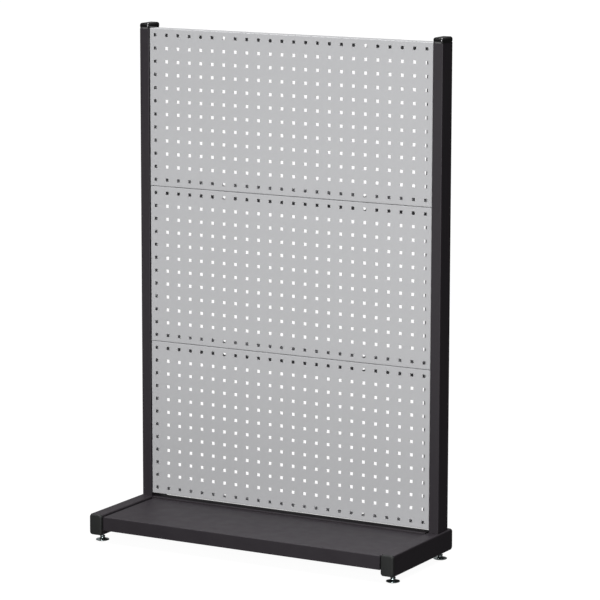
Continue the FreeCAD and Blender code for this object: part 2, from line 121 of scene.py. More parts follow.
def edgeMask(material, radius):
    # 1 on outside edges, 0 on flat faces
    bevel = addNode(material, "ShaderNodeBevel", samples=4)
    bevel.inputs["Radius"].default_value = radius
    surface = addNode(material, "ShaderNodeNewGeometry")
    dot = addNode(material, "ShaderNodeVectorMath", operation="DOT_PRODUCT")
    link(material, bevel.outputs["Normal"], dot.inputs[0])
    link(material, surface.outputs["Normal"], dot.inputs[1])
    return remap(material, dot.outputs["Value"], edgeAgreement["clean"],
                 edgeAgreement["worn"], 0.0, 1.0)


def bump(material, shader, height, strength, distance, under=None):
    node = addNode(material, "ShaderNodeBump")
    node.inputs["Strength"].default_value = strength
    node.inputs["Distance"].default_value = distance
    link(material, height, node.inputs["Height"])
    if under is not None:
        link(material, under.outputs["Normal"], node.inputs["Normal"])
    link(material, node.outputs["Normal"], shader.inputs["Normal"])
    return node


def tint(colour, factor):
    return tuple(channel * factor for channel in colour)


# finishes

peelDepth = 0.3 * mm
grainDepth = 0.1 * mm
coatSpread = 0.04


def powderCoat(name, values):
    # sprayed and baked coat: orange peel, fine speckle, thin edges
    material, shader = newMaterial(name)
    colour = values["colour"]
    patches = remap(material, objectNoise(material, values["patchScale"], 3.0),
                    0.3, 0.7, 0.0, 1.0)
    base = mixColour(material, patches, tint(colour, 1 - values["patch"]),
                     tint(colour, 1 + values["patch"]))
    speckle = remap(material, objectNoise(material, values["speckleScale"], 1.0),
                    0.35, 0.65, 0.0, 1.0)
    base = mixColour(material, speckle, base, values["speckleColour"])
    rubbed = multiply(material, edgeMask(material, values["edgeRadius"]),
                      remap(material, objectNoise(material, values["wearScale"], 4.0),
                            0.45, 0.75, 0.0, values["wear"]))
    base = mixColour(material, rubbed, base, values["wearColour"])
    link(material, base, shader.inputs["Base Color"])
    rough = remap(material, objectNoise(material, values["patchScale"] * 6, 4.0),
                  0.3, 0.7, values["roughness"] - coatSpread,
                  values["roughness"] + coatSpread)
    link(material, rough, shader.inputs["Roughness"])
    shader.inputs["Specular IOR Level"].default_value = values["specular"]
    peel = bump(material, shader, objectNoise(material, values["peelScale"], 2.0),
                values["peel"], peelDepth)
    bump(material, shader, objectNoise(material, values["speckleScale"], 1.0),
         values["grain"], grainDepth, peel)
    return material


greyCoatValues = {
    "colour": (0.485, 0.487, 0.498), "patch": 0.012, "patchScale": 3.0,
    "speckleScale": 2600.0, "speckleColour": (0.47, 0.472, 0.482), "wear": 0.25,
    "wearColour": (0.6, 0.6, 0.61), "wearScale": 60.0, "edgeRadius": 0.0012,
    "roughness": 0.5, "specular": 0.4, "peelScale": 420.0, "peel": 0.05,
    "grain": 0.03,
}
blackCoatValues = {
    "colour": (0.0212, 0.0172, 0.0215), "patch": 0.03, "patchScale": 4.0,
    "speckleScale": 2200.0, "speckleColour": (0.0245, 0.0205, 0.0248), "wear": 0.35,
    "wearColour": (0.05, 0.048, 0.05), "wearScale": 45.0, "edgeRadius": 0.0014,
    "roughness": 0.52, "specular": 0.4, "peelScale": 380.0, "peel": 0.05,
    "grain": 0.05,
}


moulding = {"flowScale": 40.0, "flowStretch": (1, 1, 0.25), "flow": 0.1,
            "edgeRadius": 0.001, "wearScale": 90.0, "roughScale": 160.0,
            "roughSpread": 0.05, "grainScale": 1800.0}


def mouldedPlastic(name, values):
    # injection moulding with a spark-eroded texture
    material, shader = newMaterial(name)
    colour = values["colour"]
    flow = remap(material, objectNoise(material, moulding["flowScale"], 4.0, 0.6,
                                       moulding["flowStretch"]), 0.3, 0.7, 0.0, 1.0)
    base = mixColour(material, flow, tint(colour, 1 - moulding["flow"]),
                     tint(colour, 1 + moulding["flow"]))
    rubbed = multiply(material, edgeMask(material, moulding["edgeRadius"]),
                      remap(material, objectNoise(material, moulding["wearScale"], 4.0),
                            0.4, 0.8, 0.0, values["wear"]))
    base = mixColour(material, rubbed, base, values["wearColour"])
    link(material, base, shader.inputs["Base Color"])
    rough = remap(material, objectNoise(material, moulding["roughScale"], 3.0), 0.3, 0.7,
                  values["roughness"] - moulding["roughSpread"],
                  values["roughness"] + moulding["roughSpread"])
    link(material, rough, shader.inputs["Roughness"])
    shader.inputs["Specular IOR Level"].default_value = values["specular"]
    bump(material, shader, objectNoise(material, moulding["grainScale"], 2.0),
         values["grain"], grainDepth)
    return material


capPlasticValues = {"colour": (0.0045, 0.0045, 0.0046), "roughness": 0.21,
                    "specular": 0.95, "grain": 0.06, "wear": 0.3,
                    "wearColour": (0.03, 0.03, 0.03)}
footPlasticValues = {"colour": (0.0205, 0.0215, 0.021), "roughness": 0.5,
                     "specular": 0.3, "grain": 0.12, "wear": 0.3,
                     "wearColour": (0.04, 0.04, 0.04)}


plating = {"stainScale": 120.0, "roughScale": 900.0, "roughStretch": (0.2, 0.2, 4),
           "smoother": 0.06, "rougher": 0.08, "lineScale": 700.0,
           "lineStretch": (0.3, 0.3, 3)}


def platedSteel(name, values):
    # plating with fine turning lines and soft stains
    material, shader = newMaterial(name)
    stain = remap(material, objectNoise(material, plating["stainScale"], 5.0, 0.6),
                  0.35, 0.7, 0.0, 1.0)
    base = mixColour(material, stain, values["colour"], values["stain"])
    link(material, base, shader.inputs["Base Color"])
    shader.inputs["Metallic"].default_value = 1.0
    rough = remap(material, objectNoise(material, plating["roughScale"], 2.0, 0.5,
                                        plating["roughStretch"]), 0.3, 0.7,
                  values["roughness"] - plating["smoother"],
                  values["roughness"] + plating["rougher"])
    link(material, rough, shader.inputs["Roughness"])
    bump(material, shader, objectNoise(material, plating["lineScale"], 2.0, 0.5,
                                       plating["lineStretch"]), values["lines"], grainDepth)
    return material


platedPadValues = {"colour": (0.6, 0.69, 0.69), "stain": (0.5, 0.58, 0.58),
                   "roughness": 0.16, "lines": 0.08}
zincValues = {"colour": (0.6, 0.68, 0.68), "stain": (0.5, 0.57, 0.58),
              "roughness": 0.28, "lines": 0.12}
blackZincValues = {"colour": (0.05, 0.05, 0.055), "stain": (0.03, 0.03, 0.034),
                   "roughness": 0.38, "lines": 0.16}


def soleRubber(name, values):
    material, shader = newMaterial(name)
    dust = remap(material, objectNoise(material, values["dustScale"], 5.0, 0.65),
                 0.45, 0.75, 0.0, 0.6)
    base = mixColour(material, dust, values["colour"], values["dust"])
    link(material, base, shader.inputs["Base Color"])
    shader.inputs["Roughness"].default_value = values["roughness"]
    bump(material, shader, objectNoise(material, values["grainScale"], 3.0),
         values["grain"], values["grainDepth"])
    return material


soleValues = {"colour": (0.012, 0.012, 0.012), "dust": (0.05, 0.048, 0.045),
              "dustScale": 150.0, "roughness": 0.75, "grainScale": 1500.0,
              "grain": 0.2, "grainDepth": 0.2 * mm}

finishes = {
    "grey_coat": powderCoat("lightGreyCoat", greyCoatValues),
    "black_coat": powderCoat("blackCoat", blackCoatValues),
    "black_plastic": mouldedPlastic("footCapPlastic", footPlasticValues),
    "zinc": platedSteel("zincPlate", zincValues),
    "black_zinc": platedSteel("blackZincPlate", blackZincValues),
    "chrome_pad": platedSteel("platedPad", platedPadValues),
    "rubber_sole": soleRubber("soleRubber", soleValues),
}
uprightCapPlastic = mouldedPlastic("uprightCapPlastic", capPlasticValues)
slotOf = {row["node"]: row["material_slot"] for row in frame["record"]["subparts"]}


def dress(piece, material):
    piece.data.materials.clear()
    piece.data.materials.append(material)


for name, node in nodes.items():
    dress(node, finishes[slotOf[name]])
print("finishes given to the CAD nodes")


# modelling helpers

def deselect():
    active = bpy.context.view_layer.objects.active
    if active and active.mode != "OBJECT":
        bpy.ops.object.mode_set(mode="OBJECT")
    bpy.ops.object.select_all(action="DESELECT")


def takeUp(piece):
    # selects one object and nothing else
    deselect()
    piece.select_set(True)
    bpy.context.view_layer.objects.active = piece
    return piece


def settle(piece):
    # puts its place, turn and size into its mesh
    takeUp(piece)
    bpy.ops.object.transform_apply(location=True, rotation=True, scale=True)
    return piece


def startShaping(name):
    piece = bpy.context.view_layer.objects.active
    piece.name = name
    piece.data.name = name
    settle(piece)
    bpy.ops.object.mode_set(mode="EDIT")
    return piece


def startBlock(name, low, high):
    deselect()
    low, high = Vector(low), Vector(high)
    bpy.ops.mesh.primitive_cube_add(size=1, location=(low + high) / 2,
                                    scale=high - low)
    return startShaping(name)


def startDisc(name, radius, low, high, facets=64):
    # a round or many-sided blank standing on z = low
    deselect()
    bpy.ops.mesh.primitive_cylinder_add(vertices=facets, radius=radius,
                                        depth=high - low,
                                        location=(0, 0, (low + high) / 2))
    return startShaping(name)


def pickFaces(piece, direction):
    # the farthest faces that look along a direction
    bpy.ops.mesh.select_mode(type="FACE")
    bpy.ops.mesh.select_all(action="DESELECT")
    mesh = bmesh.from_edit_mesh(piece.data)
    direction = Vector(direction)
    facing = [face for face in mesh.faces if face.normal.dot(direction) > 0.999]
    farthest = max(face.calc_center_median().dot(direction) for face in facing)
    for face in facing:
        if face.calc_center_median().dot(direction) > farthest - 1e-6:
            face.select_set(True)
    bmesh.update_edit_mesh(piece.data)


def pickEdges(piece, wanted):
    # the edges whose two ends pass a test
    bpy.ops.mesh.select_mode(type="EDGE")
    bpy.ops.mesh.select_all(action="DESELECT")
    mesh = bmesh.from_edit_mesh(piece.data)
    for edge in mesh.edges:
        if wanted(edge.verts[0].co, edge.verts[1].co):
            edge.select_set(True)
    bmesh.update_edit_mesh(piece.data)


def roundCorners(piece, axis, radius, steps):
    # rounds the four long corners of a block that run along an axis
    def alongAxis(first, second):
        return abs((second - first).normalized()[axis]) > 0.999
    pickEdges(piece, alongAxis)
    bpy.ops.mesh.bevel(offset=radius, segments=steps, profile=0.5, affect="EDGES")


def insetFace(inward, outward=0.0):
    bpy.ops.mesh.inset(thickness=max(inward, 1e-7), depth=outward,
                       use_even_offset=True)


def roundOver(radius, steps):
    # carries the selected face out over a quarter round
    inward = outward = 0.0
    for number in range(1, steps + 1):
        angle = math.radians(90) * number / steps
        nextIn, nextOut = radius * (1 - math.cos(angle)), radius * math.sin(angle)
        insetFace(nextIn - inward, nextOut - outward)
        inward, outward = nextIn, nextOut


def pushFace(direction, distance):
    move = Vector(direction) * distance
    bpy.ops.mesh.extrude_region_move(TRANSFORM_OT_translate={"value": move})


def closeShaping(piece, angle=35):
    bpy.ops.mesh.select_all(action="SELECT")
    bpy.ops.mesh.remove_doubles(threshold=1e-6)
    bpy.ops.mesh.normals_make_consistent(inside=False)
    bpy.ops.object.mode_set(mode="OBJECT")
    takeUp(piece)
    bpy.ops.object.shade_smooth_by_angle(angle=math.radians(angle))
    return piece


def carve(piece, tool, operation):
    # boolean with another object, which is used up
    takeUp(piece)
    cutter = piece.modifiers.new("cut", "BOOLEAN")
    cutter.operation = operation
    cutter.solver = "EXACT"
    cutter.object = tool
    bpy.ops.object.modifier_apply(modifier="cut")
    takeUp(tool)
    bpy.ops.object.delete()
    return takeUp(piece)


def copyPiece(piece, name, shift=(0, 0, 0), turn=None):
    takeUp(piece)
    bpy.ops.object.duplicate()
    twin = bpy.context.view_layer.objects.active
    twin.name = name
    twin.data.name = name
    matrix = turn.to_4x4() if turn else Matrix.Identity(4)
    twin.matrix_world = Matrix.Translation(shift) @ matrix
    return settle(twin)


def joinPieces(name, members):
    takeUp(members[0])
    for member in members[1:]:
        member.select_set(True)
    bpy.ops.object.join()
    piece = bpy.context.view_layer.objects.active
    piece.name = name
    piece.data.name = name
    return piece


def discard(piece):
    takeUp(piece)
    bpy.ops.object.delete()


def place(piece, body, slotName, material, *standsFor):
    dress(piece, material)
    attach(piece, body)
    if standsFor:
        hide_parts(*standsFor)
    return piece


def span(node):
    low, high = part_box(node)
    return low, high


def centre(node):
    low, high = span(node)
    return (low + high) / 2


# moulded caps on the uprights

uprightCap = {"flareHeight": 5.5 * mm, "spread": 1.4 * mm,
              "flare": ((0.3, 0.4), (0.35, 0.3), (0.35, 0.3)),
              "corner": 7.2 * mm, "round": 6.6 * mm, "plugInset": 2.2 * mm,
              "plugDepth": 15 * mm, "plugWall": 2 * mm, "plugFloor": 1.5 * mm}


def buildUprightCaps():
    # flares out from the tube, rounds in to a flat top, hollow plug below
    values = uprightCap
    low, high = span("upright_cap_left")
    widest = low.z + values["plugDepth"] + values["flareHeight"]
    cap = startBlock("uprightCapLeft", (low.x, low.y, widest),
                     (high.x, high.y, high.z - values["round"]))
    roundCorners(cap, 2, values["corner"], 7)
    pickFaces(cap, (0, 0, 1))
    roundOver(values["round"], 7)
    pickFaces(cap, (0, 0, -1))
    for inward, downward in values["flare"]:
        insetFace(values["spread"] * inward, values["flareHeight"] * downward)
    insetFace(values["plugInset"])
    pushFace((0, 0, -1), values["plugDepth"])
    insetFace(values["plugWall"])
    pushFace((0, 0, 1), values["plugDepth"] - values["plugFloor"])
    closeShaping(cap, 50)
    across = centre("upright_cap_right").x - centre("upright_cap_left").x
    twin = copyPiece(cap, "uprightCapRight", (across, 0, 0))
    for piece, side in ((cap, "left"), (twin, "right")):
        place(piece, "frame", "black_plastic", uprightCapPlastic, "upright_cap_" + side)


# moulded caps on the feet

footCap = {"flange": 8 * mm, "corner": 8 * mm, "round": 4.5 * mm, "plugInset": 2.2 * mm,
           "plugDepth": 15 * mm, "plugWall": 2 * mm, "plugFloor": 1 * mm,
           "ribGap": 4 * mm, "ribHeight": 0.15 * mm}


def buildFootCaps():
    # rounded front, straight flange, hollow ribbed plug inside the tube
    values = footCap
    low, high = span("foot_cap_front_left")
    seat = low.y + values["flange"]
    cap = startBlock("footCapFrontLeft", (low.x, low.y + values["round"], low.z),
                     (high.x, seat, high.z))
    roundCorners(cap, 1, values["corner"], 8)
    pickFaces(cap, (0, -1, 0))
    roundOver(values["round"], 7)
    pickFaces(cap, (0, 1, 0))
    insetFace(values["plugInset"])
    ribs = int(values["plugDepth"] / values["ribGap"])
    for number in range(ribs):                       # barbs that grip the tube
        pushFace((0, 1, 0), values["ribGap"] * 0.3)
        insetFace(-values["ribHeight"] if number % 2 else values["ribHeight"],
                  values["ribGap"] * 0.7)
    pushFace((0, 1, 0), values["plugDepth"] - ribs * values["ribGap"])
    insetFace(values["plugWall"])
    pushFace((0, -1, 0), values["plugDepth"] - values["plugFloor"])
    closeShaping(cap, 40)
    across = centre("foot_cap_front_right").x - centre("foot_cap_front_left").x
    halfTurn = Matrix.Rotation(math.pi, 3, "Z")
    caps = {("front", "left"): cap,
            ("front", "right"): copyPiece(cap, "footCapFrontRight", (across, 0, 0)),
            ("rear", "right"): copyPiece(cap, "footCapRearRight", (0, 0, 0), halfTurn),
            ("rear", "left"): copyPiece(cap, "footCapRearLeft", (-across, 0, 0),
                                        halfTurn)}
    for (end, side), piece in caps.items():
        place(piece, "frame", "black_plastic", finishes["black_plastic"],
              "foot_cap_" + end + "_" + side)


# screw threads and hexagons

# shares of the pitch: ridge overlap, turned-down tip and its slope
threadForm = {"reach": 0.53, "tip": 0.5, "tipSlope": 0.8}


def threadRidge(name, radius, pitch, low, high, steps):
    # a three-sided helical ridge, closed at both ends
    deselect()
    reach = threadForm["reach"] * pitch
    bpy.ops.mesh.primitive_circle_add(vertices=3, radius=reach, fill_type="NOTHING",
                                      rotation=(0, 0, math.radians(-90)))
    ridge = settle(bpy.context.view_layer.objects.active)
    ridge.name = name
    ridge.rotation_euler = (math.radians(90), 0, 0)
    ridge.location = (radius - reach, 0, low + pitch / 2)
    settle(ridge)
    screw = ridge.modifiers.new("helix", "SCREW")
    screw.axis = "Z"
    screw.steps = screw.render_steps = steps
    screw.iterations = int((high - low) / pitch) - 1
    screw.screw_offset = pitch
    screw.use_smooth_shade = False
    bpy.ops.object.modifier_apply(modifier="helix")
    bpy.ops.object.mode_set(mode="EDIT")
    bpy.ops.mesh.select_all(action="SELECT")
    bpy.ops.mesh.fill_holes(sides=4)
    return closeShaping(ridge, 30)


def threadedRod(name, values, low, high, threadLow, threadHigh):
    # plain core with a turned-down tip at each end, and the ridge around it
    tip = values["pitch"] * threadForm["tip"]
    core = startDisc(name, values["core"], low + tip, high - tip, values["steps"] * 2)
    for direction in ((0, 0, 1), (0, 0, -1)):
        pickFaces(core, direction)
        insetFace(tip * threadForm["tipSlope"], tip)
    closeShaping(core, 30)
    ridge = threadRidge(name + "Ridge", values["radius"], values["pitch"],
                        threadLow, threadHigh, values["steps"])
    return joinPieces(name, [core, ridge])


hexagon = {"cutPastFlat": 1.15, "cutAngle": 30, "clear": 1 * mm}


def hexBlank(name, acrossFlats, low, high, bothEnds=True):
    # hexagon with its corners turned off at one end or both
    corner = acrossFlats / math.sqrt(3)
    cut = (corner - acrossFlats / 2) * hexagon["cutPastFlat"]
    rise = cut * math.tan(math.radians(hexagon["cutAngle"]))
    turned = startDisc(name + "Turned", corner * 1.001, low + (rise if bothEnds else 0),
                       high - rise, 48)
    pickFaces(turned, (0, 0, 1))
    insetFace(cut, rise)
    if bothEnds:
        pickFaces(turned, (0, 0, -1))
        insetFace(cut, rise)
    closeShaping(turned, 20)
    blank = startDisc(name, corner, low - hexagon["clear"], high + hexagon["clear"], 6)
    closeShaping(blank, 20)
    carve(blank, turned, "INTERSECT")
    bpy.ops.object.mode_set(mode="EDIT")
    return closeShaping(blank, 20)


def boreThrough(piece, name, radius, low, high, chamfer):
    # round bore with both mouths opened out, drill a little longer than the piece
    drill = startDisc(name + "Drill", radius, low + chamfer, high - chamfer, 32)
    reach = chamfer * 1.2
    for direction in ((0, 0, 1), (0, 0, -1)):
        pickFaces(drill, direction)
        insetFace(-reach, reach)
    closeShaping(drill, 20)
    carve(piece, drill, "DIFFERENCE")
    bpy.ops.object.mode_set(mode="EDIT")
    return closeShaping(piece, 25)


# levelling glides

glide = {"rimTop": 3.2 * mm, "rimEdge": 0.9 * mm, "rimFoot": 0.7 * mm,
         "hub": 7 * mm, "hubFoot": 8.4 * mm, "hubEdge": 0.5 * mm, "sweepSteps": 9,
         "bore": 4.05 * mm, "boreFloor": 4 * mm, "mouth": 0.3 * mm,
         "pocket": 17.6 * mm, "pocketTop": 3 * mm}


def buildPad():
    # pressed dish: rounded rim, sweep up to the hub, stud bore, sole pocket
    values = glide
    low, high = span("leveller_pad_front_left")
    rim = (high.x - low.x) / 2
    pad = startDisc("padModel", rim, low.z + values["rimFoot"],
                    values["rimTop"] - values["rimEdge"], 72)
    pickFaces(pad, (0, 0, 1))
    roundOver(values["rimEdge"], 4)
    start, end = rim - values["rimEdge"], values["hub"]
    rise = values["hubFoot"] - values["rimTop"]
    inward = upward = 0.0
    for number in range(1, values["sweepSteps"] + 1):
        angle = math.radians(90) * number / values["sweepSteps"]
        nextIn = (start - end) * math.sin(angle)
        nextUp = rise * (1 - math.cos(angle))
        insetFace(nextIn - inward, nextUp - upward)
        inward, upward = nextIn, nextUp
    pushFace((0, 0, 1), high.z - values["hubFoot"] - values["hubEdge"])
    roundOver(values["hubEdge"], 3)
    insetFace(values["hub"] - values["hubEdge"] - values["bore"] - values["mouth"])
    insetFace(values["mouth"], -values["mouth"])
    pushFace((0, 0, -1), high.z - values["mouth"] - values["boreFloor"])
    pickFaces(pad, (0, 0, -1))
    roundOver(values["rimFoot"], 4)
    insetFace(rim - values["pocket"] - values["rimFoot"])
    pushFace((0, 0, 1), values["pocketTop"] - low.z)
    return closeShaping(pad, 32)


soleShape = {"edge": 0.6 * mm, "rings": 4, "ringDepth": 0.5 * mm,
             "ringSlope": 0.15, "ringFloor": 0.7}


def buildSole():
    # rubber disc with ring grooves in its underside
    values = soleShape
    low, high = span("leveller_sole_front_left")
    radius = (high.x - low.x) / 2
    sole = startDisc("soleModel", radius, low.z + values["edge"], high.z, 64)
    pickFaces(sole, (0, 0, -1))
    roundOver(values["edge"], 4)
    step = (radius - values["edge"]) / (values["rings"] * 2 + 1)
    for number in range(values["rings"]):
        insetFace(step)
        insetFace(step * values["ringSlope"], -values["ringDepth"])
        insetFace(step * values["ringFloor"])
        insetFace(step * values["ringSlope"], values["ringDepth"])
    return closeShaping(sole, 30)


studThread = {"radius": 4 * mm, "core": 3.25 * mm, "pitch": 1.25 * mm, "steps": 18,
              "collar": 13 * mm, "collarHeight": 3.4 * mm, "collarGap": 0.05 * mm,
              "neck": 3.95 * mm, "neckRound": 0.8 * mm, "runOut": 1.5 * mm,
              "overlap": 1 * mm}


def buildStud():
    # threaded stud with its spanner hexagon and a plain neck in the pad's bore
    values = studThread
    low, high = span("leveller_stud_front_left")
    collarLow = span("leveller_pad_front_left")[1].z + values["collarGap"]
    collarHigh = collarLow + values["collarHeight"]
    rod = threadedRod("studModel", values, collarHigh - values["overlap"], high.z,
                      collarHigh + values["runOut"], high.z)
    collar = hexBlank("studCollar", values["collar"], collarLow, collarHigh)
    neck = startDisc("studNeck", values["neck"], low.z + values["neckRound"],
                     collarLow + values["overlap"], 36)
    pickFaces(neck, (0, 0, -1))
    roundOver(values["neckRound"], 4)
    closeShaping(neck, 30)
    return joinPieces("studModel", [rod, collar, neck])


lockNut = {"acrossFlats": 13 * mm, "bore": 4.05 * mm, "chamfer": 0.5 * mm}


def buildLockNut():
    low, high = span("lock_nut_front_left")
    blank = hexBlank("lockNutModel", lockNut["acrossFlats"], low.z, high.z)
    return boreThrough(blank, "lockNut", lockNut["bore"], low.z, high.z,
                       lockNut["chamfer"])


def buildGlides():
    models = {"leveller_pad_": (buildPad(), "leveller_", "chrome_pad"),
              "leveller_sole_": (buildSole(), "leveller_", "rubber_sole"),
              "leveller_stud_": (buildStud(), "stud_", "zinc"),
              "lock_nut_": (buildLockNut(), None, "zinc")}
    labels = {"leveller_pad_": "glidePad", "leveller_sole_": "glideSole",
              "leveller_stud_": "glideStud", "lock_nut_": "glideLockNut"}
    for end, side in corners:
        spot = end + "_" + side
        middle = centre("leveller_pad_" + spot)
        for node, (model, body, slotName) in models.items():
            piece = copyPiece(model, labels[node] + end.title() + side.title(),
                              (middle.x, middle.y, 0))
            place(piece, body + spot if body else "frame", slotName,
                  finishes[slotName], node + spot)
    for model, body, slotName in models.values():
        discard(model)


# bolts

boltShape = {"radius": 3 * mm, "core": 2.45 * mm, "pitch": 1 * mm, "steps": 12,
             "head": 10 * mm, "headHeight": 4 * mm, "headRing": 0.9 * mm,
             "dishSlope": 0.5 * mm, "dish": 0.25 * mm, "washer": 0.4 * mm,
             "washerRadius": 4.8 * mm, "washerOverlap": 0.1 * mm,
             "overlap": 0.5 * mm, "bareTip": 0.4 * mm}


def buildBolt(name, grip):
    # seat at z = 0, head above it, shank below it
    values = boltShape
    head = hexBlank(name + "Head", values["head"], values["washer"],
                    values["headHeight"], False)
    takeUp(head)
    bpy.ops.object.mode_set(mode="EDIT")
    pickFaces(head, (0, 0, 1))
    insetFace(values["headRing"])
    insetFace(values["dishSlope"], -values["dish"])
    closeShaping(head, 20)
    washer = startDisc(name + "Washer", values["washerRadius"], 0,
                       values["washer"] + values["washerOverlap"], 32)
    closeShaping(washer, 30)
    rod = threadedRod(name + "Shank", values, -grip, values["overlap"],
                      values["bareTip"] - grip, 0)
    return joinPieces(name, [head, washer, rod])


def turnTowards(direction):
    # carries the shank, which points down, to a direction
    return Vector((0, 0, -1)).rotation_difference(Vector(direction)).to_matrix()


def setBolts(name, node, grip, direction, seats):
    slotName = slotOf[node]
    model = buildBolt(name + "Model", grip)
    turn = turnTowards(direction)
    members = [copyPiece(model, name + str(number), seat, turn)
               for number, seat in enumerate(seats)]
    discard(model)
    return place(joinPieces(name, members), "frame", slotName, finishes[slotName], node)


boltPlaces = {"panelFromEdge": 130 * mm, "spigotHeights": (35 * mm, 85 * mm),
              "plateFromEdge": 9 * mm, "plateTopExtra": 1 * mm,
              "bracketHalfSpacing": 11 * mm, "bracketDrop": 1 * mm}


def buildBolts():
    values = boltPlaces
    panelLows = [span("panel_" + row) for row in ("bottom", "middle", "top")]
    for side, sign in sides.items():
        label = side.title()
        low, high = span("panel_bolts_" + side)
        y = centre("panel_bolts_" + side).y
        grip = high.x - low.x - boltShape["headHeight"]
        inner = low.x if sign > 0 else high.x
        heights = [z for box in panelLows for z in (box[0].z + values["panelFromEdge"],
                                                    box[1].z - values["panelFromEdge"])]
        setBolts("panelBolts" + label, "panel_bolts_" + side, grip, (sign, 0, 0),
                 [(inner + sign * boltShape["headHeight"], y, z) for z in heights])

        low, high = span("spigot_bolts_" + side)
        x = centre("spigot_bolts_" + side).x
        seat = high.y - boltShape["headHeight"]
        footTop = span("foot_" + side)[1].z
        setBolts("spigotBolts" + label, "spigot_bolts_" + side, seat - low.y,
                 (0, -1, 0), [(x, seat, footTop + height)
                              for height in values["spigotHeights"]])

        low, high = span("crossbar_bolts_" + side)
        plateLow, plateHigh = span("crossbar_plate_" + side)
        barLow, barHigh = span("base_crossbar")
        face = plateLow.x if sign > 0 else plateHigh.x
        behind = (barHigh.y + plateHigh.y) / 2
        under = barLow.y + (barHigh.y - barLow.y) / 3
        topDrop = values["plateFromEdge"] + values["plateTopExtra"]
        setBolts("crossbarBolts" + label, "crossbar_bolts_" + side,
                 high.x - low.x - boltShape["headHeight"], (sign, 0, 0),
                 [(face, behind, plateLow.z + values["plateFromEdge"]),
                  (face, behind, plateHigh.z - topDrop),
                  (face, under, (plateLow.z + barLow.z) / 2)])

        low, high = span("bracket_bolts_" + side)
        inner = low.x if sign > 0 else high.x
        seats = []
        for end in ends:
            bracket = centre("deck_bracket_" + end + "_" + side)
            for step in (-1, 1):
                seats.append((inner + sign * boltShape["headHeight"],
                              bracket.y + step * values["bracketHalfSpacing"],
                              bracket.z - values["bracketDrop"]))
        setBolts("bracketBolts" + label, "bracket_bolts_" + side,
                 high.x - low.x - boltShape["headHeight"], (sign, 0, 0), seats)


# welds

weld = {"lump": 2.4 * mm, "step": 2.1 * mm, "sway": 0.08, "swayRate": 2.3,
        "voxel": 0.55 * mm, "overlap": 0.35}


def lumpChain(name, start, end):
    # overlapping drops of weld metal from start to end
    start, end = Vector(start), Vector(end)
    count = max(2, round((end - start).length / weld["step"]))
    drops = []
    for number in range(count + 1):
        spot = start.lerp(end, number / count)
        sway = 1 + weld["sway"] * math.sin(number * weld["swayRate"])
        deselect()
        bpy.ops.mesh.primitive_ico_sphere_add(subdivisions=2,
                                              radius=weld["lump"] * sway,
                                              location=spot)
        drop = settle(bpy.context.view_layer.objects.active)
        drop.name = name + "Drop" + str(number)
        drops.append(drop)
    return joinPieces(name, drops)


def fuse(piece):
    # melts the drops into one skin
    takeUp(piece)
    melt = piece.modifiers.new("melt", "REMESH")
    melt.mode = "VOXEL"
    melt.voxel_size = weld["voxel"]
    bpy.ops.object.modifier_apply(modifier="melt")
    soften = piece.modifiers.new("soften", "SMOOTH")
    soften.factor = 0.5
    soften.iterations = 2
    bpy.ops.object.modifier_apply(modifier="soften")
    bpy.ops.object.shade_smooth()
    return piece


def buildWelds():
    # beads between the crossbar's ends and its plates: down the rear, along below
    low, high = span("base_crossbar")
    inset = weld["lump"] * weld["overlap"]
    for side, sign in sides.items():
        plateLow, plateHigh = span("crossbar_plate_" + side)
        x = (plateLow.x if sign > 0 else plateHigh.x) - sign * inset
        rear, under = high.y + inset, low.z - inset
        top = plateHigh.z - weld["lump"]
        runs = [((x, rear, top), (x, rear, under)),
                ((x, rear, under), (x, low.y + weld["lump"], under))]
        chains = [lumpChain("weldRun" + str(number), *run)
                  for number, run in enumerate(runs)]
        bead = fuse(joinPieces("crossbarWeld" + side.title(), chains))
        place(bead, "frame", "black_coat", finishes["black_coat"])


spotWeld = {"radius": 3.2 * mm, "height": 0.25 * mm, "count": 9, "dish": 0.3 * mm,
            "rim": 0.2, "slope": 0.3, "flange": 3 * mm, "fromEdge": 7.5 * mm,
            "overlap": 0.2 * mm}


def buildSpotWelds():
    # shallow electrode marks along both flanges of the deck's stiffener
    values = spotWeld
    low, high = span("deck_stiffener")
    under = span("deck")[1].z - values["flange"]
    mark = startDisc("spotModel", values["radius"], under - values["height"],
                     under + values["overlap"], 20)
    pickFaces(mark, (0, 0, -1))
    insetFace(values["radius"] * values["rim"], values["height"] * 0.3)
    insetFace(values["radius"] * values["slope"], -values["dish"])
    closeShaping(mark, 50)
    marks = []
    for number in range(values["count"]):
        x = low.x + (high.x - low.x) * (number + 0.5) / values["count"]
        for y in (low.y + values["fromEdge"], high.y - values["fromEdge"]):
            marks.append(copyPiece(mark, "spot" + str(len(marks)), (x, y, 0)))
    discard(mark)
    place(joinPieces("stiffenerSpotWelds", marks), "deck", "black_coat",
          finishes["black_coat"])


buildUprightCaps()
print("upright caps built")
buildFootCaps()
print("foot caps built")
buildGlides()
print("levelling glides built")
buildBolts()
print("bolts built")
buildWelds()
buildSpotWelds()
print("welds built")


# stage, light and camera

